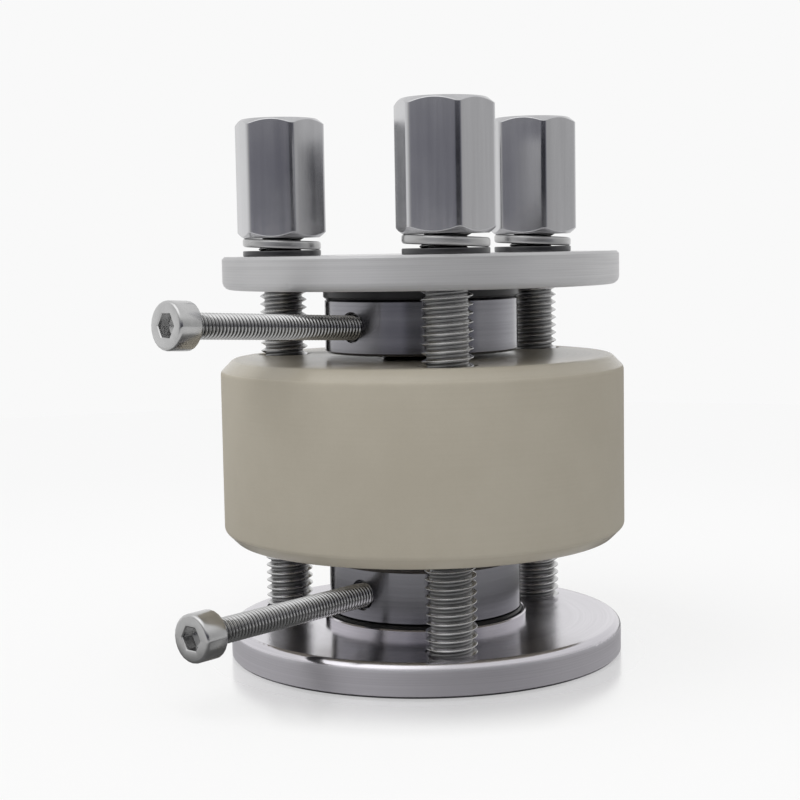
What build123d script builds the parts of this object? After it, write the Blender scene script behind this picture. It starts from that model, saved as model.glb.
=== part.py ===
from build123d import *
from math import asin, cos, radians, sin, tan
import os

# Solid-state battery test mold: two round plates on three threaded studs squeeze two steel
# electrodes into the bore of an insulating sleeve. Millimetres, +Z up, origin at the centre of
# the bottom face, and -Y towards the front stud.

os.makedirs("parts", exist_ok=True)

# Sleeve, turned from insulating plastic bar and a little wider than the plates
sleeve_overhang = 0.5
sleeve_height = 22.5
sleeve_chamfer = 1.5
bore_dia = 10.0
bore_chamfer = 0.5

# End plates, the same turned blank for the top and the bottom. The bottom one has a low rim
# round its insulating disc, and the top one has its disc let into a shallow recess
plate_dia = 49.0
plate_thick = 4.0
plate_inner_round = 1.0
plate_outer_chamfer = 0.3
rim_height = 1.0
rim_wall = 0.45
rim_edge_chamfer = 0.15
recess_depth = 0.5

# Studs, and how far in from the plates' edge they stand
stud_dia = 6.0
stud_pitch = 1.0
stud_edge_distance = 5.5
stud_count = 3
stud_names = ["front", "right", "left"]
front_direction = -90.0
stud_foot = 0.2
stud_in_nut = 10.4

# Electrodes: a round block and its plunger, turned in one piece
block_dia = 24.0
block_height = 6.7
block_chamfer = 0.3
plunger_chamfer = 0.4
neck_relief = 0.4

# Insulating discs between the blocks and the plates, a little wider than the blocks
disc_overhang = 0.15
disc_thick = 1.3
disc_chamfer = 0.2

# Rubber rings that seal the plungers in the bore
ring_section = 1.5
ring_groove_spare = 0.02
ring_groove_width = 1.9
ring_from_tip = 2.4

# How the stack stands with a pressed sample's room left between the plungers
lower_gap = 2.5
upper_gap = 0.6
sample_room = 1.2

# Flat washers, and split spring washers that stand a little askew between them and the nuts
washer_dia = 10.0
washer_thick = 0.7
washer_chamfer = 0.15
spring_washer_dia = 10.0
spring_washer_space = 1.6
spring_washer_thick = 1.1
spring_washer_chamfer = 0.35
spring_washer_high_side = 170.0
split_gap = 0.7
split_slant = 20.0
split_direction = 110.0

# Long hexagon nuts, and how far round each one has come to rest
nut_flats = 10.3
nut_sides = 6
nut_length = 15.0
nut_chamfer_angle = 38.0
nut_face_share = 0.95
nut_bore_chamfer = 0.5
nut_rest_turns = [36.0, 33.0, 42.0]

# Terminal screws: how far each electrode is turned from the front stud towards the left, and
# how far its screw leans up in its thread
screw_dia = 3.0
screw_length = 30.0
screw_in_block = 5.5
screw_tip_chamfer = 0.4
screw_head_dia = 5.5
screw_head_height = 3.0
screw_head_round = 0.35
socket_flats = 2.5
socket_sides = 6
socket_depth = 1.5
screw_hole_spare = 1.0
screw_countersink_dia = 3.8
screw_countersink_angle = 90.0
lower_terminal_turn = 49.0
upper_terminal_turn = 53.0
lower_terminal_lean = 0.0
upper_terminal_lean = 3.2

# Clearances, on the radius
thread_clearance = 0.05
plunger_clearance = 0.03
ring_clearance = 0.02
disc_clearance = 0.1
washer_clearance = 0.2
spring_washer_clearance = 0.1
stud_clearance = 0.3

# How closely an edge's diameter has to match when it is picked
edge_match = 0.01

# Heights up the stack, from the bottom face
lower_block_base = plate_thick + disc_thick
lower_block_top = lower_block_base + block_height
sleeve_base = lower_block_top + lower_gap
sleeve_top = sleeve_base + sleeve_height
upper_block_base = sleeve_top + upper_gap
upper_block_top = upper_block_base + block_height
top_plate_base = upper_block_top + disc_thick
top_plate_top = top_plate_base + plate_thick
washer_top = top_plate_top + washer_thick
nut_base = washer_top + spring_washer_space
stud_top = nut_base + stud_in_nut

# Sizes that follow from the ones above
sleeve_dia = plate_dia + 2 * sleeve_overhang
stud_circle_dia = plate_dia - 2 * stud_edge_distance
disc_dia = block_dia + 2 * disc_overhang
plunger_length = (upper_block_base - lower_block_top - sample_room) / 2
plunger_dia = bore_dia - 2 * plunger_clearance
ring_outer_dia = bore_dia - 2 * ring_clearance
ring_path_dia = ring_outer_dia - ring_section
rim_inner_dia = disc_dia + 2 * disc_clearance
rim_outer_dia = rim_inner_dia + 2 * rim_wall
tapped_hole_dia = stud_dia + 2 * thread_clearance
clear_hole_dia = stud_dia + 2 * stud_clearance
washer_hole_dia = stud_dia + 2 * washer_clearance
spring_washer_hole_dia = stud_dia + 2 * spring_washer_clearance
screw_hole_dia = screw_dia + 2 * thread_clearance
screw_hole_depth = screw_in_block + screw_hole_spare
stud_step = 360 / stud_count
spring_washer_face_dia = spring_washer_dia - 2 * spring_washer_chamfer
spring_washer_tilt = asin((spring_washer_space - spring_washer_thick) / spring_washer_face_dia)
split_lean = spring_washer_space * tan(radians(split_slant))
nut_corner_dia = nut_flats / cos(radians(180 / nut_sides))
nut_face_dia = nut_flats * nut_face_share
nut_chamfer_drop = (nut_corner_dia - nut_face_dia) / 2 * tan(radians(nut_chamfer_angle))


def stud_place(index):
    """Where a stud stands, as x and y."""
    angle = radians(front_direction + index * stud_step)
    reach = stud_circle_dia / 2
    return reach * cos(angle), reach * sin(angle)


def terminal_plane(height, turn, lean):
    """Plane whose normal points out along a terminal screw, from the axis through the hole's mouth."""
    angle = radians(front_direction - turn)
    rise = radians(lean)
    return Plane(
        origin=(0, 0, height - block_dia / 2 * tan(rise)),
        x_dir=(-sin(rise) * cos(angle), -sin(rise) * sin(angle), cos(rise)),
        z_dir=(cos(rise) * cos(angle), cos(rise) * sin(angle), sin(rise)),
    )


def stud_holes(plane, hole_dia):
    """Round holes through a piece, one for each stud, drilled from a plane."""
    with Locations(plane):
        with PolarLocations(stud_circle_dia / 2, stud_count, start_angle=front_direction):
            Hole(hole_dia / 2)


def rim_ring():
    """Section of the low ring that centres the lower insulating disc."""
    Circle(rim_outer_dia / 2)
    Circle(rim_inner_dia / 2, mode=Mode.SUBTRACT)


def round_edges(piece, diameter):
    """The circular edges of a piece that have a given diameter."""
    circles = piece.edges().filter_by(GeomType.CIRCLE)
    return circles.filter_by(lambda edge: abs(2 * edge.radius - diameter) < edge_match)


def save(piece, name):
    """Label a finished piece and write it to its own file."""
    piece.part.label = name
    export_step(piece.part, f"parts/{name}.step")


# Bottom plate: blank, rounded upper edge, centring rim and tapped holes for the studs
with BuildPart() as bottom_plate:
    with BuildSketch(Plane.XY):
        Circle(plate_dia / 2)
    extrude(amount=plate_thick)
    chamfer(bottom_plate.edges().sort_by(Axis.Z)[0], plate_outer_chamfer)
    fillet(bottom_plate.edges().sort_by(Axis.Z)[-1], plate_inner_round)
    with BuildSketch(Plane.XY.offset(plate_thick)):
        rim_ring()
    extrude(amount=rim_height)
    chamfer(bottom_plate.edges().group_by(Axis.Z)[-1], rim_edge_chamfer)
    stud_holes(Plane.XY.offset(plate_thick), tapped_hole_dia)
save(bottom_plate, "bottom_plate")

# Top plate: the same blank turned over, with a recess for its disc, and with clearance holes so
# that it slides on the studs
with BuildPart() as top_plate:
    with BuildSketch(Plane.XY.offset(top_plate_base)):
        Circle(plate_dia / 2)
    extrude(amount=plate_thick)
    chamfer(top_plate.edges().sort_by(Axis.Z)[-1], plate_outer_chamfer)
    fillet(top_plate.edges().sort_by(Axis.Z)[0], plate_inner_round)
    with BuildSketch(Plane.XY.offset(top_plate_base)):
        Circle(rim_inner_dia / 2)
    extrude(amount=recess_depth, mode=Mode.SUBTRACT)
    stud_holes(Plane.XY.offset(top_plate_top), clear_hole_dia)
save(top_plate, "top_plate")

# Sleeve: a thick plastic cylinder with the cell's bore and three holes for the studs
with BuildPart() as sleeve:
    with BuildSketch(Plane.XY.offset(sleeve_base)):
        Circle(sleeve_dia / 2)
    extrude(amount=sleeve_height)
    chamfer(sleeve.edges().filter_by(GeomType.CIRCLE), sleeve_chamfer)
    with Locations(Plane.XY.offset(sleeve_top)):
        Hole(bore_dia / 2)
    chamfer(round_edges(sleeve, bore_dia), bore_chamfer)
    stud_holes(Plane.XY.offset(sleeve_top), clear_hole_dia)
save(sleeve, "sleeve")


def electrode_outline(block_back, block_face, tip):
    """Half outline of an electrode, from its back on a disc to its plunger's tip in the bore."""
    way = 1 if tip > block_face else -1
    groove_end = tip - way * ring_from_tip
    groove_start = groove_end - way * ring_groove_width
    groove_floor = ring_outer_dia / 2 - ring_section - ring_groove_spare
    return [
        (0, block_back),
        (block_dia / 2 - block_chamfer, block_back),
        (block_dia / 2, block_back + way * block_chamfer),
        (block_dia / 2, block_face - way * block_chamfer),
        (block_dia / 2 - block_chamfer, block_face),
        (plunger_dia / 2, block_face),
        (plunger_dia / 2 - neck_relief / 2, block_face + way * neck_relief),
        (plunger_dia / 2, block_face + way * 2 * neck_relief),
        (plunger_dia / 2, groove_start),
        (groove_floor, groove_start),
        (groove_floor, groove_end),
        (plunger_dia / 2, groove_end),
        (plunger_dia / 2, tip - way * plunger_chamfer),
        (plunger_dia / 2 - plunger_chamfer, tip),
        (0, tip),
    ]


# Lower electrode: its block stands on the lower disc, its plunger points up into the bore
lower_hole_height = lower_block_base + block_height / 2
lower_terminal = terminal_plane(lower_hole_height, lower_terminal_turn, lower_terminal_lean)
with BuildPart() as lower_electrode:
    with BuildSketch(Plane.XZ):
        with BuildLine():
            outline = electrode_outline(lower_block_base, lower_block_top, lower_block_top + plunger_length)
            Polyline(*outline, close=True)
        make_face()
    revolve(axis=Axis.Z)
    with Locations(lower_terminal.offset(block_dia / 2)):
        CounterSinkHole(
            screw_hole_dia / 2, screw_countersink_dia / 2, screw_hole_depth, screw_countersink_angle
        )
save(lower_electrode, "lower_electrode")

# Upper electrode: the same piece upside down, under the top plate
upper_hole_height = upper_block_base + block_height / 2
upper_terminal = terminal_plane(upper_hole_height, upper_terminal_turn, upper_terminal_lean)
with BuildPart() as upper_electrode:
    with BuildSketch(Plane.XZ):
        with BuildLine():
            outline = electrode_outline(upper_block_top, upper_block_base, upper_block_base - plunger_length)
            Polyline(*outline, close=True)
        make_face()
    revolve(axis=Axis.Z)
    with Locations(upper_terminal.offset(block_dia / 2)):
        CounterSinkHole(
            screw_hole_dia / 2, screw_countersink_dia / 2, screw_hole_depth, screw_countersink_angle
        )
save(upper_electrode, "upper_electrode")

# Rubber rings in the plungers' grooves
lower_ring_height = lower_block_top + plunger_length - ring_from_tip - ring_groove_width / 2
with BuildPart() as lower_sealing_ring:
    with Locations((0, 0, lower_ring_height)):
        Torus(ring_path_dia / 2, ring_section / 2)
save(lower_sealing_ring, "lower_sealing_ring")

upper_ring_height = upper_block_base - plunger_length + ring_from_tip + ring_groove_width / 2
with BuildPart() as upper_sealing_ring:
    with Locations((0, 0, upper_ring_height)):
        Torus(ring_path_dia / 2, ring_section / 2)
save(upper_sealing_ring, "upper_sealing_ring")

# Insulating discs, one inside the bottom plate's rim and one in the top plate's recess
with BuildPart() as lower_insulating_disc:
    with BuildSketch(Plane.XY.offset(plate_thick)):
        Circle(disc_dia / 2)
    extrude(amount=disc_thick)
    chamfer(lower_insulating_disc.edges().filter_by(GeomType.CIRCLE), disc_chamfer)
save(lower_insulating_disc, "lower_insulating_disc")

with BuildPart() as upper_insulating_disc:
    with BuildSketch(Plane.XY.offset(upper_block_top)):
        Circle(disc_dia / 2)
    extrude(amount=disc_thick + recess_depth)
    chamfer(upper_insulating_disc.edges().filter_by(GeomType.CIRCLE), disc_chamfer)
save(upper_insulating_disc, "upper_insulating_disc")

# What stands on each stud: the stud, a flat washer, a split spring washer and a long nut
for index, name in enumerate(stud_names):
    stud_x, stud_y = stud_place(index)

    with BuildPart() as stud:
        with BuildSketch(Plane((stud_x, stud_y, stud_foot))):
            Circle(stud_dia / 2)
        extrude(amount=stud_top - stud_foot)
        chamfer(stud.edges().filter_by(GeomType.CIRCLE), stud_pitch / 2)
    save(stud, f"{name}_stud")

    with BuildPart() as flat_washer:
        with BuildSketch(Plane((stud_x, stud_y, top_plate_top))):
            Circle(washer_dia / 2)
            Circle(washer_hole_dia / 2, mode=Mode.SUBTRACT)
        extrude(amount=washer_thick)
        chamfer(round_edges(flat_washer, washer_dia), washer_chamfer)
    save(flat_washer, f"{name}_flat_washer")

    with BuildPart() as spring_washer:
        tilt, high_side = spring_washer_tilt, radians(spring_washer_high_side)
        askew = Plane(
            origin=(stud_x, stud_y, washer_top + spring_washer_space / 2),
            x_dir=(cos(tilt) * cos(high_side), cos(tilt) * sin(high_side), sin(tilt)),
            z_dir=(-sin(tilt) * cos(high_side), -sin(tilt) * sin(high_side), cos(tilt)),
        )
        with BuildSketch(askew):
            Circle(spring_washer_dia / 2)
            Circle(spring_washer_hole_dia / 2, mode=Mode.SUBTRACT)
        extrude(amount=spring_washer_thick / 2, both=True)
        chamfer(round_edges(spring_washer, spring_washer_dia), spring_washer_chamfer)
        split = radians(split_direction)
        split_face = Plane(
            origin=(stud_x, stud_y, washer_top),
            x_dir=(-sin(split), cos(split), 0),
            z_dir=(cos(split), sin(split), 0),
        )
        with BuildSketch(split_face):
            with BuildLine():
                Polyline(
                    (-split_gap / 2, 0),
                    (split_gap / 2, 0),
                    (split_gap / 2 + split_lean, spring_washer_space),
                    (split_lean - split_gap / 2, spring_washer_space),
                    close=True,
                )
            make_face()
        extrude(amount=spring_washer_dia, mode=Mode.SUBTRACT)
    save(spring_washer, f"{name}_spring_washer")

    with BuildPart() as coupling_nut:
        nut_plane = Plane((stud_x, stud_y, nut_base))
        with BuildSketch(nut_plane):
            RegularPolygon(nut_flats / 2, nut_sides, major_radius=False, rotation=nut_rest_turns[index])
        extrude(amount=nut_length)
        with BuildSketch(Plane((stud_x, stud_y, nut_base), x_dir=(1, 0, 0), z_dir=(0, -1, 0))):
            with BuildLine():
                Polyline(
                    (0, 0),
                    (nut_face_dia / 2, 0),
                    (nut_corner_dia / 2, nut_chamfer_drop),
                    (nut_corner_dia / 2, nut_length - nut_chamfer_drop),
                    (nut_face_dia / 2, nut_length),
                    (0, nut_length),
                    close=True,
                )
            make_face()
        revolve(axis=Axis((stud_x, stud_y, nut_base), (0, 0, 1)), mode=Mode.INTERSECT)
        with Locations(nut_plane.offset(nut_length)):
            Hole(tapped_hole_dia / 2)
        chamfer(round_edges(coupling_nut, tapped_hole_dia), nut_bore_chamfer)
    save(coupling_nut, f"{name}_coupling_nut")


def cap_screw(axis_plane, name):
    """Socket cap screw that stands out of a block along a plane's normal."""
    head_seat = block_dia / 2 - screw_in_block + screw_length
    head_face = head_seat + screw_head_height

    def height(edge):
        return axis_plane.to_local_coords(edge.center()).Z

    with BuildPart() as screw:
        with BuildSketch(axis_plane.offset(head_seat - screw_length)):
            Circle(screw_dia / 2)
        extrude(amount=screw_length)
        chamfer(round_edges(screw, screw_dia).sort_by(height)[0], screw_tip_chamfer)
        with BuildSketch(axis_plane.offset(head_seat)):
            Circle(screw_head_dia / 2)
        extrude(amount=screw_head_height)
        fillet(round_edges(screw, screw_head_dia).sort_by(height)[-1], screw_head_round)
        with BuildSketch(axis_plane.offset(head_face)):
            RegularPolygon(socket_flats / 2, socket_sides, major_radius=False)
        extrude(amount=-socket_depth, mode=Mode.SUBTRACT)
    save(screw, name)


# Terminal screws, where the leads of a tester are clipped on
cap_screw(lower_terminal, "lower_terminal_screw")
cap_screw(upper_terminal, "upper_terminal_screw")
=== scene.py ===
# %% [markdown]
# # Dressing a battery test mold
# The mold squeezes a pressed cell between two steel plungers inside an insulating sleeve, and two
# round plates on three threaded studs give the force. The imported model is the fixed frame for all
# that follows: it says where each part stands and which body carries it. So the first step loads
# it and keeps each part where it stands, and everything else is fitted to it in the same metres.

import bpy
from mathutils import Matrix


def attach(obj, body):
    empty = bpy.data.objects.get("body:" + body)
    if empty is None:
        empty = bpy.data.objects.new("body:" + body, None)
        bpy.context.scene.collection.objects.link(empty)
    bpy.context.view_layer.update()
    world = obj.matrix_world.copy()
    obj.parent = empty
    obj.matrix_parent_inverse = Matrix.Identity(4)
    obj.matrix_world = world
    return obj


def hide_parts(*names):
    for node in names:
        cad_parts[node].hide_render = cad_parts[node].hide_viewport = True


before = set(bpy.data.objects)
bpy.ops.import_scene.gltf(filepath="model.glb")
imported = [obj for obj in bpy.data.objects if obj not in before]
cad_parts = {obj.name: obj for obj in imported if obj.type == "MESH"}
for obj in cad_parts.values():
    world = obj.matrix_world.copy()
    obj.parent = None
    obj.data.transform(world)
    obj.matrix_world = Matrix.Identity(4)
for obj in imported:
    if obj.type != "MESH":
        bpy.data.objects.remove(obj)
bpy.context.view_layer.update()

# %% Tools for the lesson
from math import cos, pi, radians, sin, tan

import bmesh
import bpy
import numpy as np
from mathutils import Matrix

MM = 0.001

# %% [markdown]
# ## The camera
# The photograph was taken from close by, a little above the middle of the sleeve, so the near nut
# looks larger than the two behind it. A camera is a chain of turns and one move: it is tipped
# down, swung and leaned on the spot, set back from the mold, and then the whole arm is turned
# about the mold's axis. Writing the chain as a product keeps each number readable.

# %% Camera
EYE_DISTANCE, EYE_HEIGHT = 200.627, 50.332
EYE_PITCH, EYE_YAW, EYE_ROLL = radians(5.389), radians(-0.8), radians(-1.0)
EYE_ROUND = -8.863
FOCAL_PIXELS, PICTURE_WIDTH, SENSOR_WIDTH = 1609.06, 800, 36.0
NEAREST, FARTHEST = 0.01, 20.0


def turned_by(angle, axis):
    """A turn about one of the axes X, Y and Z."""
    return Matrix.Rotation(angle, 4, axis)


eye = bpy.data.cameras.new("eye")
eye.sensor_width = SENSOR_WIDTH
eye.lens = SENSOR_WIDTH * FOCAL_PIXELS / PICTURE_WIDTH
eye.clip_start, eye.clip_end = NEAREST, FARTHEST
camera = bpy.data.objects.new("camera", eye)
camera.matrix_world = (
    turned_by(radians(EYE_ROUND), "Z")
    @ Matrix.Translation((0, -EYE_DISTANCE * MM, EYE_HEIGHT * MM))
    @ turned_by(-EYE_YAW, "Z")
    @ turned_by(pi / 2 - EYE_PITCH, "X")
    @ turned_by(EYE_ROLL, "Z")
)
bpy.context.scene.collection.objects.link(camera)
bpy.context.scene.camera = camera
bpy.context.scene.view_settings.view_transform = "Standard"
print("lens", round(eye.lens, 2), "mm")

# %% [markdown]
# ## Writing shaders as sums
# Node trees are easier to read as arithmetic. A small class wraps an output socket, and adding or
# multiplying two of them adds the Math node that does it. A second class holds the tree of a
# material or of the world, and has one method that adds any other node.


# %% Wires
class Wire:
    """An output socket. An operator between wires and numbers adds the Math node for it."""

    def __init__(self, finish, socket):
        self.finish, self.socket = finish, socket

    def math(self, operation, *values):
        return self.finish.node("Math", {"operation": operation}, dict(enumerate(values)))

    def __add__(self, other):
        return self.math("ADD", self, other)

    def __radd__(self, other):
        return self.math("ADD", other, self)

    def __sub__(self, other):
        return self.math("SUBTRACT", self, other)

    def __rsub__(self, other):
        return self.math("SUBTRACT", other, self)

    def __mul__(self, other):
        return self.math("MULTIPLY", self, other)

    def __rmul__(self, other):
        return self.math("MULTIPLY", other, self)

    def __pow__(self, other):
        return self.math("POWER", self, other)


# %% Finishes
MIX_FIRST, MIX_SECOND, MIX_COLOUR = 6, 7, 2  # the Mix node's sockets for colours share their names
BLACK, WHITE = (0.0, 0.0, 0.0), (1.0, 1.0, 1.0)


class Finish:
    """The nodes of a material or of the world, all added by one method."""

    def __init__(self, owner):
        owner.use_nodes = True
        self.owner, self.tree = owner, owner.node_tree
        self.tree.nodes.clear()

    def node(self, kind, settings=None, values=None, out=0):
        """Adds a node: its settings first, then the numbers or wires of its sockets. The answer is
        the output that out names, or one output for each of several names."""
        added = self.tree.nodes.new("ShaderNode" + kind)
        for name, setting in (settings or {}).items():
            setattr(added, name, setting)
        for name, value in (values or {}).items():
            socket = added.inputs[name]
            if isinstance(value, Wire):
                self.tree.links.new(value.socket, socket)
            else:
                socket.default_value = (*value, 1.0) if socket.type == "RGBA" else value
        if isinstance(out, tuple):
            return [Wire(self, added.outputs[each]) for each in out]
        return Wire(self, added.outputs[out]) if added.outputs else None

    def mix(self, share, first, second):
        """A colour that goes from the first to the second as share goes from 0 to 1."""
        values = {0: share, MIX_FIRST: first, MIX_SECOND: second}
        return self.node("Mix", {"data_type": "RGBA"}, values, out=MIX_COLOUR)

    def step(self, value, low, high):
        """A smooth step: 0 below low, 1 above high."""
        ends = {"Value": value, "From Min": low, "From Max": high}
        return self.node("MapRange", {"interpolation_type": "SMOOTHSTEP"}, ends)

    def noise(self, vector, scale, detail=2.0, roughness=0.5):
        """Soft random blotches, about 1 / scale across, around 0.5."""
        values = {"Vector": vector, "Scale": scale, "Detail": detail, "Roughness": roughness}
        return self.node("TexNoise", None, values)

    def bump(self, height, distance):
        """The normal of a surface that is raised by height times distance, in metres."""
        return self.node("Bump", None, {"Distance": distance, "Height": height})

    def vector_math(self, operation, *values, out="Value"):
        """A sum on places or directions, each a wire or three numbers."""
        return self.node("VectorMath", {"operation": operation}, dict(enumerate(values)), out)


def swing(noise, amount):
    """A noise as a change around zero: amount (noise - 0.5)."""
    return (noise - 0.5) * amount


# %% [markdown]
# ## The studio
# The mold stands on a white sheet in front of a white ground. Polished steel shows its
# surroundings more than its own colour, so the world has three answers. The camera sees the white
# ground. A reflection sees a studio: white behind the mold and overhead, and a dark room round the
# camera, which is what gives steel its contrast. Two panels with soft edges stand in that room: a
# pale one to the right, and a bright one high up on the left, in the place of the lamp. Matt
# surfaces get a soft light that comes mostly from behind and from above.

# %% World
GROUND = 0.947
VIEW_ROUND = EYE_ROUND - 90.0
DARK_ROUND = VIEW_ROUND + 24.0
GLOOM, WALL, BACK = 0.035, 0.21, 0.7
WALL_EDGE, BACK_EDGE = (0.085, 0.18), (0.2, 0.88)
OVERHEAD, OVERHEAD_EDGE = 0.9, (0.12, 0.62)
PALE_ROUND, PALE_LIFT, PALE_LEVEL, PALE_EDGE = VIEW_ROUND + 92.0, 0.0, 0.27, 0.6
BRIGHT_ROUND, BRIGHT_LIFT, BRIGHT_LEVEL, BRIGHT_EDGE = VIEW_ROUND - 50.0, 58.0, 0.75, 0.78
MATT_LEVEL, MATT_BEHIND, MATT_ABOVE = 0.29, 0.1, 0.43
SHADE_TINT, SHADE_EDGE = (0.9, 0.9, 1.12), (0.05, 0.5)

world = bpy.data.worlds.new("studio")
bpy.context.scene.world = world
studio = Finish(world)
outward = studio.node("TexCoord", out="Generated")


def compass(angle, lift=0.0):
    """The unit direction at an angle about Z and a lift above the horizon, in degrees."""
    flat = cos(radians(lift))
    return (flat * cos(radians(angle)), flat * sin(radians(angle)), sin(radians(lift)))


def facing(goal):
    """How far a direction points at a goal: 1 straight at it, -1 straight away."""
    return studio.vector_math("DOT_PRODUCT", outward, goal)


def panel(angle, lift, strength, edge):
    """A round panel, which fades in where a direction faces its middle by more than edge."""
    return strength * studio.step(facing(compass(angle, lift)), edge, 1.0)


# %% [markdown]
# The sums below read from left to right: the darkest corner, the wall that begins beside it, the
# white part behind the mold and the pale panel, then the ceiling and the bright panel. A Light Path
# node tells which of the three answers a ray gets.

# %% What each ray sees
away = 0.5 - 0.5 * facing(compass(DARK_ROUND))
level = GLOOM + WALL * studio.step(away, *WALL_EDGE) + BACK * studio.step(away, *BACK_EDGE)
level = level + panel(PALE_ROUND, PALE_LIFT, PALE_LEVEL, PALE_EDGE)
lift = facing((0.0, 0.0, 1.0))
level = level + (OVERHEAD - level) * studio.step(lift, *OVERHEAD_EDGE)
level = level + panel(BRIGHT_ROUND, BRIGHT_LIFT, BRIGHT_LEVEL, BRIGHT_EDGE)
behind = 0.5 - 0.5 * facing(compass(VIEW_ROUND))
even = MATT_LEVEL + MATT_BEHIND * behind + MATT_ABOVE * studio.step(lift, 0.0, 1.0)
room = studio.mix(studio.step(level, *SHADE_EDGE), SHADE_TINT, WHITE)

reflected = studio.node("Background", None, {"Color": room, "Strength": level})
soft = studio.node("Background", None, {"Color": WHITE, "Strength": even})
ground = studio.node("Background", None, {"Color": (GROUND, GROUND, GROUND), "Strength": 1.0})
camera_ray, glossy_ray = studio.node("LightPath", out=("Is Camera Ray", "Is Glossy Ray"))
lit = studio.node("MixShader", None, {0: glossy_ray, 1: soft, 2: reflected})
answer = studio.node("MixShader", None, {0: camera_ray, 1: lit, 2: ground})
studio.node("OutputWorld", None, {"Surface": answer})
print("world nodes", len(studio.tree.nodes))

# %% [markdown]
# ## The lamp
# One large, soft lamp hangs above and to the left of the camera. A sun is used because its light
# is as strong at every place of the floor, so the sheet stays one even white. Reflections don't
# show it: a source this strong would burn out the plate's top, and the bright panel stands for it.

# %% Lamp
LAMP_ROUND, LAMP_LIFT, LAMP_STRENGTH, LAMP_WIDTH = VIEW_ROUND - 50.0, 66.0, 1.5, radians(70.0)

sun = bpy.data.lights.new("soft_lamp", "SUN")
sun.energy, sun.angle = LAMP_STRENGTH, LAMP_WIDTH
lamp = bpy.data.objects.new("soft_lamp", sun)
lamp.rotation_euler = (radians(90.0 - LAMP_LIFT), 0.0, radians(LAMP_ROUND + 90.0))
lamp.visible_glossy = False
bpy.context.scene.collection.objects.link(lamp)
print("lamp from", [round(part, 2) for part in compass(LAMP_ROUND, LAMP_LIFT)])

# %% [markdown]
# ## Surfaces from grids
# Every new piece is a surface with two parameters: a grid of points, whose rows and columns are
# worked out as whole arrays. Grids may share an edge or close on themselves. Their points are then
# merged, which leaves one skin without seams.


# %% Grids into meshes
SAME_PLACE, NO_LENGTH = 1e-7, 1e-8


def quads(rows, columns):
    """The faces of a grid: each joins two neighbours in a row to the two in the next."""
    corner = np.arange(rows * columns).reshape(rows, columns)
    ring = (corner[:-1, :-1], corner[:-1, 1:], corner[1:, 1:], corner[1:, :-1])
    return np.stack(ring, axis=-1).reshape(-1, 4)


def around(radius, angle, height):
    """The points (r cos a, r sin a, z) of three arrays that are spread to one shape."""
    radius, angle, height = np.broadcast_arrays(radius, angle, height)
    return np.stack([radius * np.cos(angle), radius * np.sin(angle), height], axis=-1)


def full_turn(steps):
    """The angles of one turn as a row, whose last place is the first one again."""
    return np.linspace(0, 2 * pi, steps + 1)[None, :]


def welded(name, grids, flatness, **marks):
    """A mesh of grids in millimetres. Points in one place become one, and empty faces go, so grids
    that share an edge become one closed skin, whose faces are then all turned outwards."""
    points = np.concatenate([grid.reshape(-1, 3) for grid in grids]) * MM
    starts = np.cumsum([0] + [grid.shape[0] * grid.shape[1] for grid in grids])
    faces = [quads(*grid.shape[:2]) + start for grid, start in zip(grids, starts)]
    mesh = bpy.data.meshes.new(name)
    mesh.from_pydata(points, [], np.concatenate(faces))
    for mark, values in marks.items():
        spot = mesh.attributes.new(mark, "FLOAT", "POINT")
        spot.data.foreach_set("value", np.concatenate([each.ravel() for each in values]))
    work = bmesh.new()
    work.from_mesh(mesh)
    bmesh.ops.remove_doubles(work, verts=work.verts, dist=SAME_PLACE)
    bmesh.ops.dissolve_degenerate(work, edges=work.edges, dist=NO_LENGTH)
    bmesh.ops.recalc_face_normals(work, faces=work.faces)
    work.to_mesh(mesh)
    work.free()
    mesh.shade_smooth()
    mesh.set_sharp_from_angle(angle=radians(flatness))
    return mesh


def made(name, mesh):
    """An object for a finished mesh, at the origin."""
    piece = bpy.data.objects.new(name, mesh)
    bpy.context.scene.collection.objects.link(piece)
    return piece


# %% [markdown]
# ## The floor
# The floor is a round sheet. Part of its brightness is its own, so that it meets the ground behind
# it without an edge, while the mold's soft shadow still shows on it. Near the mold the glow is a
# little stronger, a painted light that lightens the shadow. In the steel the sheet is painted
# darker near the mold, a painted shade where the shade lies. Close round the bottom plate it has a
# faint gloss, like coated paper at a low angle, so that the plate's foot is repeated below it.

# %% Floor
SHEET_RINGS = np.array([0.0, 30.0, 80.0, 160.0, 320.0])[:, None]
SHEET_TO_CAMERA, SHEET_TO_MATT = 0.26, 0.75
SHEET_NEAR, SHEET_FAR, SHADE_END = 0.16, 0.7, (0.042, 0.08)
# A little extra glow near the mold is a painted light that lightens the mold's broad shadow.
GLOW, PAINTED_LIGHT_POOL, POOL_EDGE = 0.66, 0.03, (0.04, 0.2)
COAT, COAT_INDEX, COAT_ROUGHNESS, COAT_END = 0.44, 1.33, 0.2, (0.027, 0.04)

sheet = made("floor", welded("floor", [around(SHEET_RINGS, full_turn(96), 0.0)], 30))
paper = Finish(bpy.data.materials.new("white_sheet"))
sheet.data.materials.append(paper.owner)
camera_ray, glossy_ray = paper.node("LightPath", out=("Is Camera Ray", "Is Glossy Ray"))
reach = paper.vector_math("LENGTH", paper.node("TexCoord", out="Object"))
# Painted shade: reflected rays see the sheet darker near the mold, where the mold's shade lies.
painted_sheet_shade = SHEET_NEAR + (SHEET_FAR - SHEET_NEAR) * paper.step(reach, *SHADE_END)
albedo = SHEET_TO_MATT + (SHEET_TO_CAMERA - SHEET_TO_MATT) * camera_ray
albedo = albedo + (painted_sheet_shade - albedo) * glossy_ray
matt = paper.node("BsdfDiffuse", None, {"Color": paper.mix(albedo, BLACK, WHITE)})
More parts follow.
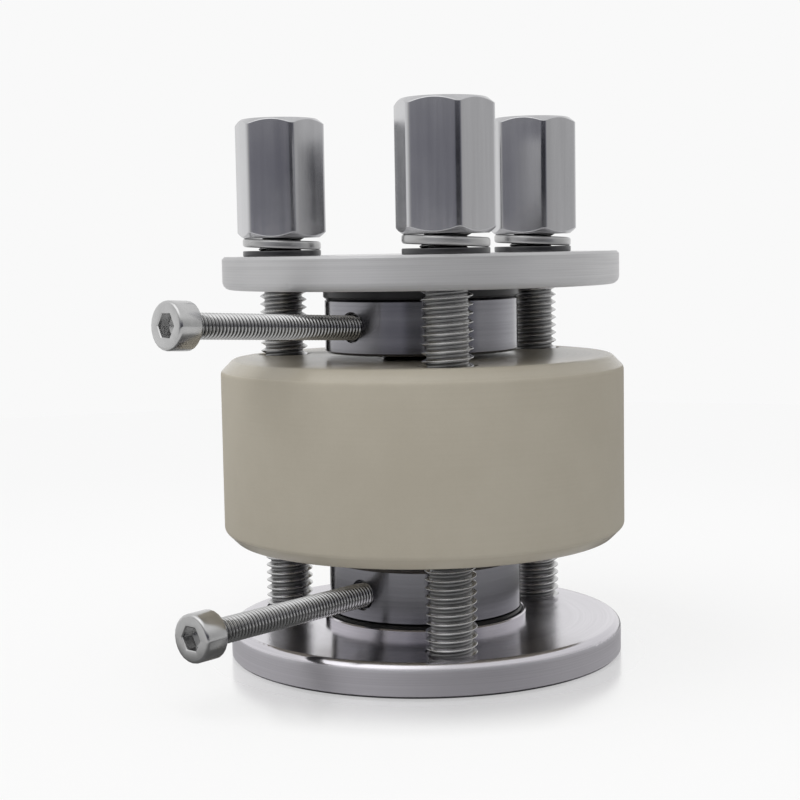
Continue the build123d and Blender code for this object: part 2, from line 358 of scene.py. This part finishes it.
# Painted light: the sheet glows a little more near the mold, which lightens the mold's shadow
# there.
painted_glow_pool = GLOW + PAINTED_LIGHT_POOL - PAINTED_LIGHT_POOL * paper.step(reach, *POOL_EDGE)
glow = paper.node("Emission", None, {"Color": WHITE, "Strength": painted_glow_pool})
seen = paper.node("MixShader", None, {0: camera_ray, 2: glow})
dry = paper.node("AddShader", None, {0: matt, 1: seen})
gloss = paper.node("BsdfAnisotropic", None, {"Color": WHITE, "Roughness": COAT_ROUGHNESS})
wet = COAT * paper.node("Fresnel", None, {"IOR": COAT_INDEX}) * (1.0 - paper.step(reach, *COAT_END))
look = paper.node("MixShader", None, {0: wet, 1: dry, 2: gloss})
paper.node("OutputMaterial", None, {"Surface": look})
print("floor faces", len(sheet.data.polygons))

# %% [markdown]
# ## Steel turned on a lathe
# Both plates are turned from bar. The tool leaves rings, finer than a tenth of a millimetre, on the
# flat faces and on the rim alike, and fingers leave faint smudges. The rings need no drawing: a
# noise that is read by the distance from the axis and by the height, and hardly at all by the
# way round, is already a set of rings. A little of it goes to the bump and a little to the colour.
# Rings also draw a reflection out across them, which is what the anisotropy does.


# %% Turned surfaces
QUARTER_TURN, RING_PULL = 0.25, 0.8


def turned(finish, fineness, drift):
    """A place as the lathe sees it: the place, its distance r from the axis, its height z and the
    point (fineness r, fineness z, drift (x + y)), where a noise makes rings."""
    place = finish.node("TexCoord", out="Object")
    x, y, z = finish.node("SeparateXYZ", None, {0: place}, out=("X", "Y", "Z"))
    reach = (x * x + y * y) ** 0.5
    rings = {"X": reach * fineness, "Y": z * fineness, "Z": (x + y) * drift}
    return place, reach, z, finish.node("CombineXYZ", None, rings)


def steel(finish, colour, roughness, normal, brushed):
    """A metal surface. Brushed lines draw its reflections out across them, by 0 to 1."""
    values = {"Base Color": colour, "Roughness": roughness, "Metallic": 1.0, "Normal": normal}
    values.update({"Anisotropic": brushed, "Anisotropic Rotation": QUARTER_TURN})
    surface = finish.node("BsdfPrincipled", None, values)
    finish.node("OutputMaterial", None, {"Surface": surface})
    print("finish", finish.owner.name, len(finish.tree.nodes), "nodes")
    return finish.owner


def turned_steel(name, colour, dark, sheen, groove, fineness=6000.0, rim=1.0, rim_sheen=0.0):
    """Lathe-turned steel: rings about the axis, with smudges in the gloss. From rim, a distance
    from the axis, outwards the cut is coarser, and its roughness grows by rim_sheen."""
    finish = Finish(bpy.data.materials.new(name))
    place, reach, _, ringed = turned(finish, fineness, 40.0)
    rings = finish.noise(ringed, 1.0, 3.0, 0.6)
    broad = finish.noise(ringed, 0.16)
    smudge = finish.noise(place, 70.0, 3.0, 0.6)
    tone = finish.step(rings * 0.6 + broad * 0.4, 0.3, 0.7)
    roughness = sheen + rim_sheen * finish.step(reach, rim - 0.1 * MM, rim)
    roughness = roughness + swing(smudge, 0.16) + swing(broad, 0.12)
    normal = finish.bump(rings + broad, groove)
    return steel(finish, finish.mix(tone, dark, colour), roughness, normal, RING_PULL)


# %% [markdown]
# The two plates are not cut alike. The bottom one's rounded edge is polished with its top and
# shines as a bright line, and only its straight rim is rough. The top one is rough from its
# rounding on. Their colours are painted light and shade: the top plate's steel is lighter than
# the bottom one's. The electrodes are smoother, as ground faces are, and their steel is painted
# darker, a painted shade for the dark surroundings that they mirror.

# %% Plates and electrodes
PLATE_GROOVE, ELECTRODE_GROOVE = 0.006 * MM, 0.002 * MM


def dress(finish, *nodes):
    """Gives CAD nodes a new material in the slots that they have."""
    for node in nodes:
        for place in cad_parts[node].material_slots:
            place.material = finish


# Painted shade: the bottom plate's steel is coloured a little darker and lilac than the top one's.
bottom_finish = turned_steel(
    "bottom_plate_steel", (0.68, 0.662, 0.7), (0.58, 0.564, 0.6), 0.18, PLATE_GROOVE,
    rim=24.5 * MM, rim_sheen=0.38,
)
# Painted light: the top plate's steel is coloured lighter, though it is the same steel as below.
top_finish = turned_steel(
    "top_plate_steel", (0.73, 0.728, 0.735), (0.63, 0.627, 0.635), 0.24, PLATE_GROOVE,
    rim=23.7 * MM, rim_sheen=0.36,
)
# Painted shade: the electrode steel is coloured far darker than the plates' steel.
electrode_finish = turned_steel(
    "electrode_steel", (0.29, 0.288, 0.312), (0.24, 0.238, 0.258), 0.17, ELECTRODE_GROOVE, 3000.0
)
dress(bottom_finish, "bottom_plate")
dress(top_finish, "top_plate")
dress(electrode_finish, "lower_electrode", "upper_electrode")

# %% [markdown]
# ## The insulators
# The sleeve is turned from a hard, sand-coloured plastic, and the discs between the electrodes and
# the plates from a black one. Turned plastic is matt with very fine rings, and its colour drifts a
# little from place to place. The sealing rings inside are black rubber.


# %% Plastics and rubber
CUT_CHANGE = 0.2 * MM


def plastic(name, colour, drift, roughness, groove, side=(-1.0, 1.0), end_roughness=0.5):
    """Turned plastic: a colour that drifts, fine rings and a soft gloss. Outside the heights of its
    side the ends were faced with another cut, and have a roughness of their own."""
    finish = Finish(bpy.data.materials.new(name))
    place, _, height, ringed = turned(finish, 4000.0, 30.0)
    rings = finish.noise(ringed, 1.0, 2.0, 0.6)
    clouds = finish.noise(place, 45.0, 4.0, 0.65)
    specks = finish.noise(place, 2600.0, 1.0)
    tone = finish.step(clouds * 0.75 + rings * 0.15 + specks * 0.1, 0.35, 0.65)
    low, high = side
    below = 1.0 - finish.step(height, low - CUT_CHANGE, low)
    end = below + finish.step(height, high, high + CUT_CHANGE)
    gloss = roughness + (end_roughness - roughness) * end
    values = {
        "Base Color": finish.mix(tone, drift, colour),
        "Roughness": gloss + swing(clouds, 0.12) + swing(rings, 0.08),
        "Specular IOR Level": 0.3,
        "Normal": finish.bump(rings + specks * 0.3, groove),
    }
    finish.node("OutputMaterial", None, {"Surface": finish.node("BsdfPrincipled", None, values)})
    print("finish", name, len(finish.tree.nodes), "nodes")
    return finish.owner


sleeve_finish = plastic(
    "sleeve_plastic", (0.48, 0.442, 0.365), (0.447, 0.408, 0.333), 0.74, 0.006 * MM,
    side=(16.0 * MM, 35.5 * MM), end_roughness=0.24,
)
disc_finish = plastic("disc_plastic", (0.028, 0.028, 0.03), (0.02, 0.02, 0.021), 0.35, 0.003 * MM)
rubber_finish = plastic("seal_rubber", (0.02,) * 3, (0.014,) * 3, 0.6, 0.004 * MM)
dress(disc_finish, "lower_insulating_disc", "upper_insulating_disc")
dress(rubber_finish, "lower_sealing_ring", "upper_sealing_ring")

# %% [markdown]
# ## The sleeve
# A turned plastic edge is never sharp: the file that takes off the burr leaves it a few tenths of a
# millimetre round, and that thin band catches the light. The shape itself is already right in the
# CAD, so a copy of its mesh is welded together and a Bevel modifier rounds its edges.


# %% Sleeve with rounded edges
CAD_SAME_PLACE, CAD_FLAT, CAD_EDGE = 2e-6, radians(0.5), radians(25)


def rounded_copy(node, width, steps):
    """A welded copy of a CAD node whose edges a Bevel modifier rounds."""
    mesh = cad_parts[node].data.copy()
    work = bmesh.new()
    work.from_mesh(mesh)
    bmesh.ops.remove_doubles(work, verts=work.verts, dist=CAD_SAME_PLACE)
    bmesh.ops.dissolve_limit(work, angle_limit=CAD_FLAT, verts=work.verts, edges=work.edges)
    work.to_mesh(mesh)
    work.free()
    mesh.shade_smooth()
    piece = made(node + "_rounded", mesh)
    bevel = piece.modifiers.new("rounded_edges", "BEVEL")
    bevel.width, bevel.segments = width * MM, steps
    bevel.limit_method, bevel.angle_limit = "ANGLE", CAD_EDGE
    bevel.harden_normals = True
    return piece


def carried(piece, body, slot, finish, *nodes):
    """Hands a piece its body, its finish and the CAD nodes it replaces. The slot is not used."""
    piece.data.materials.clear()
    piece.data.materials.append(finish)
    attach(piece, body)
    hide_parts(*nodes)
    print("piece", piece.name, len(piece.data.polygons), "faces on", body)


carried(rounded_copy("sleeve", 0.3, 3), "base", "sleeve_plastic", sleeve_finish, "sleeve")

# %% [markdown]
# ## Steel with a thread
# Studs, washers, screws and nuts are plain stainless steel. The roots of a thread are painted
# darker and made rougher, a painted shade in the recesses, and the crests keep the bright colour.
# Each threaded mesh carries a number at every point, 0 at a crest and 1 at a root, and the finish
# darkens by it.


# %% Fastener steel
FINE_GRAIN, FINEST_GRAIN = 0.002 * MM, 0.001 * MM
EVEN, ROUND, UPRIGHT = (900.0, 900.0, 900.0), (500.0, 500.0, 4000.0), (700.0, 700.0, 25.0)


def fastener_steel(name, colour, sheen, grain, lines, brushed=0.0, root_shade_colour=(0.28,) * 3):
    """Stainless steel with fine lines, and thread roots painted darker, a painted shade. The lines
    run along the axis by whose factor a place is stretched least."""
    finish = Finish(bpy.data.materials.new(name))
    place = finish.node("TexCoord", out="Object")
    drawn = finish.noise(finish.vector_math("MULTIPLY", place, lines, out="Vector"), 1.0, 3.0, 0.6)
    smudge = finish.noise(place, 160.0, 3.0, 0.6)
    pits = finish.noise(place, 5000.0, 1.0)
    root = finish.node("Attribute", {"attribute_name": "root_depth"}, out="Fac")
    # Painted shade: the colour darkens at the thread roots, and the roots also get rougher.
    painted_root_shade = finish.step(root + swing(smudge, 0.3), 0.25, 1.05)
    duller = tuple(0.91 * part for part in colour)
    bright = finish.mix(finish.step(drawn, 0.3, 0.7), duller, colour)
    roughness = sheen + swing(smudge, 0.2) + swing(drawn, 0.14) + painted_root_shade * 0.2
    normal = finish.bump(drawn + pits * 0.4, grain)
    return steel(finish, finish.mix(painted_root_shade, bright, root_shade_colour), roughness, normal, brushed)


thread_finish = fastener_steel("thread_steel", (0.6,) * 3, 0.2, FINE_GRAIN, EVEN)
# The screw roots are painted almost black, a painted shade between the turns.
screw_finish = fastener_steel(
    "screw_steel", (0.56,) * 3, 0.2, FINE_GRAIN, EVEN, root_shade_colour=(0.05,) * 3
)
washer_finish = fastener_steel("washer_steel", (0.5,) * 3, 0.32, FINE_GRAIN, ROUND, brushed=0.7)
# Painted shade: the flat washers are coloured near black, standing for the dark gap under each
# spring washer.
shade_black_finish = fastener_steel("black_steel", (0.1, 0.1, 0.103), 0.34, FINE_GRAIN, ROUND)
nut_finish = fastener_steel("nut_steel", (0.56, 0.56, 0.575), 0.2, FINEST_GRAIN, UPRIGHT)

# %% [markdown]
# ## A thread as a surface
# A metric thread is one ridge that climbs round a rod. As a function of two parameters it is
# short: the way round the rod, and how far up the ridge's section. A row of the grid is one place
# on the section, and it climbs by one pitch each turn. Every height comes from the same rule,
# counted from the table up, so a nut's thread lies between the turns of its stud's without any
# fitting, and it stays there when the joint turns and lifts the nut together.

# %% Thread surface
# Half of the ridge's section, from its crest almost to its root, as parts of a pitch and of the
# ridge's height. The other half is the same one backwards.
HALF_AT = np.array([0.0, 0.04, 0.075, 0.11, 0.33, 0.375, 0.43])
HALF_TALL = np.array([1.0, 0.985, 0.93, 0.84, 0.14, 0.045, 0.01])
RIDGE_AT = np.concatenate([HALF_AT, [0.5], 1.0 - HALF_AT[:0:-1]])
RIDGE_TALL = np.concatenate([HALF_TALL, [0.0], HALF_TALL[:0:-1]])
ALONG_AXIS = np.array([0.0, 0.0, 1.0])
print("places on a ridge", len(RIDGE_AT))


def thread(angle, low, high, pitch, reach):
    """Points at z = pitch (n + f + angle / 2 pi), kept between low and high, for each fraction f of
    each turn n. Their radius is reach(t, z), where t is the ridge's height there, from 0 to 1."""
    turns = np.arange(np.floor(low / pitch) - 3, np.ceil(high / pitch) + 2)
    climb = (turns[:, None] + RIDGE_AT).reshape(-1, 1) + angle / (2 * pi)
    tall = np.tile(RIDGE_TALL, len(turns))[:, None]
    height = np.clip(pitch * climb, low, high)
    radius = reach(tall, height)
    depth = np.broadcast_to(1.0 - tall, radius.shape)
    return around(radius, angle, height), depth


def closed_below(points, depth):
    """A surface about Z with a row on the axis added below, which closes it there."""
    return np.concatenate([points[:1] * ALONG_AXIS, points]), np.concatenate([depth[:1], depth])


def closed_above(points, depth):
    """A surface about Z with a row on the axis added above, which closes it there."""
    return np.concatenate([points, points[-1:] * ALONG_AXIS]), np.concatenate([depth, depth[-1:]])


# %% [markdown]
# ## The three studs
# The studs are rods threaded along their whole length. The ends are turned to a cone, which a nut
# needs to start on, so the radius of the surface is the smaller of the thread's and the cone's.

# %% Studs
STUD_CREST, STUD_ROOT, STUD_PITCH, STUD_END = 3.0, 2.387, 1.0, 2.3
STUD_LOW, STUD_HIGH = 0.2, 62.3
STUD_CIRCLE = 19.0
STUD_PLACE = {"front": -90.0, "right": 30.0, "left": 150.0}  # degrees about Z


def stud_reach(tall, height):
    """The thread's radius, or the end's cone where that is smaller."""
    cone = STUD_END + np.minimum(height - STUD_LOW, STUD_HIGH - height)
    return np.minimum(STUD_ROOT + (STUD_CREST - STUD_ROOT) * tall, cone)


def at_stud(side, points):
    """Moves points from the axis to where a stud stands."""
    return points + STUD_CIRCLE * np.array(compass(STUD_PLACE[side]))


for side in STUD_PLACE:
    rod = thread(full_turn(60), STUD_LOW, STUD_HIGH, STUD_PITCH, stud_reach)
    points, depth = closed_above(*closed_below(*rod))
    name, node = side + "_threaded_rod", side + "_stud"
    mesh = welded(name, [at_stud(side, points)], 60, root_depth=[depth])
    carried(made(name, mesh), "base", "fastener_steel", thread_finish, node)

# %% [markdown]
# ## Rounded outlines
# Corners on turned parts are broken with a small radius. An outline is a list of corners with a
# radius for each, and every corner is turned into a true arc at once, by a weighted curve between
# the two places where the arc meets its sides.


# %% Outlines with round corners
def softened(corners, radii, steps=4):
    """Rounds outlines. A corner c becomes the points
    ((1 - s)^2 a + 2 s (1 - s) w c + s^2 b) / ((1 - s)^2 + 2 s (1 - s) w + s^2) for s from 0 to 1,
    where a and b lie r / tan(h) from c on its sides, h is half its angle and w = sin(h)."""
    before = np.roll(corners, 1, axis=-2) - corners
    after = np.roll(corners, -1, axis=-2) - corners
    before /= np.linalg.norm(before, axis=-1, keepdims=True)
    after /= np.linalg.norm(after, axis=-1, keepdims=True)
    half = np.arccos(np.clip((before * after).sum(-1), -1, 1))[..., None] / 2
    reach = np.array(radii)[:, None] / np.maximum(np.tan(half), 0.01)
    s = np.linspace(0, 1, steps + 1)[:, None]
    pull = 2 * s * (1 - s) * np.sin(half)[..., None, :]
    start, end = (corners + way * reach for way in (before, after))
    curve = (1 - s) ** 2 * start[..., None, :] + s**2 * end[..., None, :]
    curve = (curve + pull * corners[..., None, :]) / ((1 - s) ** 2 + pull + s**2)
    return curve.reshape(*corners.shape[:-2], -1, 2)


def revolved(corners, radii, angle, base=0.0):
    """The surface of a rounded outline carried about Z. A corner is a pair (radius, height above
    base), and either may be an array with one value for each angle."""
    corners = [np.broadcast_arrays(*corner, angle)[:2] for corner in corners]
    corners = np.stack([np.stack(corner, axis=-1) for corner in corners], axis=-2)
    outline = softened(corners, radii)
    return around(outline[..., 0].T, angle, base + outline[..., 1].T)


# %% [markdown]
# ## The long nuts
# Each nut is a length of hexagon bar, drilled, tapped and chamfered at both ends. The chamfer is
# a cone, and where a cone cuts a flat side it leaves the arc that every nut shows. So the outside
# is worked out one column at a time: the bar's own radius at that angle, and from it the height at
# which the cone leaves the side. The tapped hole takes the same angles, so that the two surfaces
# share the hole's edge and weld there.

# %% Nuts
NUT_LOW, NUT_HIGH = 51.9, 66.9
NUT_APOTHEM, NUT_CORNER, NUT_FACE = 5.15, 0.9, 4.893
NUT_SLOPE = tan(radians(38.0))
NUT_MOUTH, NUT_MINOR, NUT_MAJOR = 3.55, 2.46, 3.05
NUT_ROUNDING = [0, 0.12, 0.16, 0.16, 0.12, 0]
NUT_REST = {"front": 66.0, "right": 63.0, "left": 72.0}  # where a tightened nut's side faces


def hexagon(flat, corner, steps=12, bend=8):
    """The outline of a hexagon with round corners, as angles and radii. A side is r = flat / cos(a)
    from its middle, and a corner is an arc about a centre (flat - corner) / cos(30) away."""
    edge = np.arctan2((flat - corner) * tan(pi / 6), flat)
    side = np.linspace(-edge, edge, steps, endpoint=False)
    turn = np.linspace(edge - pi / 6, pi / 6 - edge, bend, endpoint=False)
    centre = (flat - corner) / cos(pi / 6)
    arc = centre * np.cos(turn) + np.sqrt(corner**2 - (centre * np.sin(turn)) ** 2)
    angle = np.concatenate([side, pi / 6 + turn])
    angle = (angle + np.arange(6)[:, None] * pi / 3).ravel()
    radius = np.tile(np.concatenate([flat / np.cos(side), arc]), 6)
    return np.append(angle, angle[0] + 2 * pi), np.append(radius, radius[0])


def nut_skin(angle, radius):
    """The outside of a nut, from the mouth of its hole below to the mouth above."""
    length = NUT_HIGH - NUT_LOW
    half = [(NUT_MOUTH, 0.0), (NUT_FACE, 0.0), (radius, (radius - NUT_FACE) * NUT_SLOPE)]
    corners = half + [(reach, length - rise) for reach, rise in half[::-1]]
    return revolved(corners, NUT_ROUNDING, angle, NUT_LOW)


def nut_hole(tall, height):
    """The tapped hole's radius, or its mouth's cone where that is wider."""
    mouth = NUT_MOUTH - np.minimum(height - NUT_LOW, NUT_HIGH - height)
    return np.maximum(NUT_MINOR + (NUT_MAJOR - NUT_MINOR) * (1.0 - tall), mouth)


for side, rest in NUT_REST.items():
    angle, radius = hexagon(NUT_APOTHEM, NUT_CORNER)
    angle = angle + radians(rest)
    hole, depth = thread(angle[None, :], NUT_LOW, NUT_HIGH, STUD_PITCH, nut_hole)
    skin = nut_skin(angle, radius)
    grids, depths = [at_stud(side, skin), at_stud(side, hole)], [np.zeros(skin.shape[:2]), depth]
    name, node = side + "_long_nut", side + "_coupling_nut"
    mesh = welded(name, grids, 50, root_depth=depths)
    carried(made(name, mesh), side + "_nut", "nut_steel", nut_finish, node)

# %% [markdown]
# ## Washers
# Under each nut lie a split spring washer and a flat one. Both are a rounded section carried round
# the stud. The flat washer closes on itself. The spring washer stops short of a full turn at a
# slanted cut, so the angle at which a row starts depends on its height.

# %% Washers
WASHER_LOW, WASHER_THICK, WASHER_HOLE, WASHER_EDGE, WASHER_CORNER = 49.6, 0.7, 3.2, 5.0, 0.14
SPRING_ROOM, SPRING_THICK, SPRING_HOLE, SPRING_EDGE, SPRING_CORNER = 1.6, 1.1, 3.1, 5.0, 0.34
SPRING_TILT, SPRING_HIGH = radians(3.08), radians(170.0)
SPLIT_GAP, SPLIT_LEAN, SPLIT_ROUND = 0.7, tan(radians(20.0)), radians(110.0)
WASHER_STEPS = 72


def section(inner, outer, low, high, corner):
    """The closed, rounded section of a washer, as radii and heights."""
    corners = np.array([(inner, low), (outer, low), (outer, high), (inner, high)])
    outline = softened(corners, [corner] * 4)
    return np.append(outline, outline[:1], axis=0).T


def flat_washer():
    """A section carried all the way round."""
    top = WASHER_LOW + WASHER_THICK
    radius, height = section(WASHER_HOLE, WASHER_EDGE, WASHER_LOW, top, WASHER_CORNER)
    return around(radius[:, None], full_turn(WASHER_STEPS), height[:, None])


def spring_washer():
    """A section carried from one slanted face of the cut round to the other. Both ends are closed
    by a row that is drawn together in the middle of the section. The ring stands askew in its room:
    each height grows by r cos(a - high) tan(tilt)."""
    rise = SPRING_THICK / 2
    radius, height = section(SPRING_HOLE, SPRING_EDGE, -rise, rise, SPRING_CORNER)
    share = np.linspace(0, 1, WASHER_STEPS + 1)[:, None]
    half_gap = SPLIT_GAP / 2 / radius
    start = SPLIT_ROUND + height * SPLIT_LEAN / radius + half_gap
    angle = start + share * (2 * pi - 2 * half_gap)
    height = height + radius * np.cos(angle - SPRING_HIGH) * tan(SPRING_TILT)
    points = around(radius, angle, WASHER_LOW + WASHER_THICK + SPRING_ROOM / 2 + height)
    middle = points[[0, -1]].mean(axis=1, keepdims=True) + 0 * points[[0, -1]]
    return np.concatenate([middle[:1], points, middle[1:]])


WASHERS = [
    # The flat washer's near-black colour is a painted shade.
    ("_plain_washer", "_flat_washer", flat_washer(), shade_black_finish),
    ("_split_washer", "_spring_washer", spring_washer(), washer_finish),
]
for side in STUD_PLACE:
    for shape, node, points, finish in WASHERS:
        mesh = welded(side + shape, [at_stud(side, points)], 40)
        carried(made(side + shape, mesh), "clamp_plate", "fastener_steel", finish, side + node)

# %% [markdown]
# ## Terminal screws
# A tester's leads clip on to two socket cap screws that stand out of the electrodes. A screw is
# drawn upright about Z, with the head's seat at zero, and then laid along its own direction. The
# columns of the grid follow the hexagon of the socket, so its corners stay crisp.

# %% Screw shape
SCREW_CREST, SCREW_ROOT, SCREW_PITCH, SCREW_LONG, SCREW_TIP = 1.5, 1.193, 0.5, 30.0, 1.1
HEAD_REACH, HEAD_TALL = 2.75, 3.0
SOCKET_FLAT, SOCKET_CORNER, SOCKET_DEEP, SOCKET_CONE, SOCKET_BREAK = 1.25, 0.06, 1.5, 0.3, 0.12
HEAD_ROUNDING = [0, 0.15, 0.35, 0.05, 0.05, 0, 0]


def screw_reach(tall, height):
    """The thread's radius, held in a cone at the tip and run out to the full size at the head."""
    ridge = SCREW_ROOT + (SCREW_CREST - SCREW_ROOT) * tall
    ridge = np.maximum(ridge, SCREW_CREST + height)
    return np.minimum(ridge, SCREW_TIP + height + SCREW_LONG)


def cap_head(angle, socket):
    """The head, from its seat round the rim and down into the socket, to the point of the drill."""
    floor = HEAD_TALL - SOCKET_DEEP
    corners = [
        (SCREW_CREST, 0.0),
        (HEAD_REACH, 0.0),
        (HEAD_REACH, HEAD_TALL),
        (socket + SOCKET_BREAK, HEAD_TALL),
        (socket, HEAD_TALL - SOCKET_BREAK),
        (socket, floor),
        (0.0, floor - SOCKET_CONE),
    ]
    return revolved(corners, HEAD_ROUNDING, angle)


# %% Screws in place
SCREW_SEAT, BLOCK_REACH = 36.5, 12.0
SCREWS = {
    "lower_terminal_screw": ("lower_terminal", 8.65, -139.0, 0.0),
    "upper_terminal_screw": ("upper_terminal", 40.95, -143.0, 3.2),
}


def laid(points, height, direction, lean):
    """Points about Z turned to point out along a direction and up by a lean, through the mouth of a
    hole at a height."""
    out, up = np.array(compass(direction, lean)), np.array(compass(direction, lean + 90.0))
    across = np.array(compass(direction + 90.0))
    x, y, z = np.moveaxis(points, -1, 0)[..., None]
    foot = [0.0, 0.0, height - BLOCK_REACH * tan(radians(lean))]
    return x * up - y * across + (SCREW_SEAT + z) * out + foot


angle, socket = hexagon(SOCKET_FLAT, SOCKET_CORNER, 4, 4)
bare_shank = thread(angle[None, :], -SCREW_LONG, 0.0, SCREW_PITCH, screw_reach)
shank, depth = closed_below(*bare_shank)
head = cap_head(angle, socket)
for node, (body, *place) in SCREWS.items():
    grids, depths = [laid(shank, *place), laid(head, *place)], [depth, np.zeros(head.shape[:2])]
    mesh = welded(node + "_cut", grids, 50, root_depth=depths)
    carried(made(node + "_cut", mesh), body, "fastener_steel", screw_finish, node)
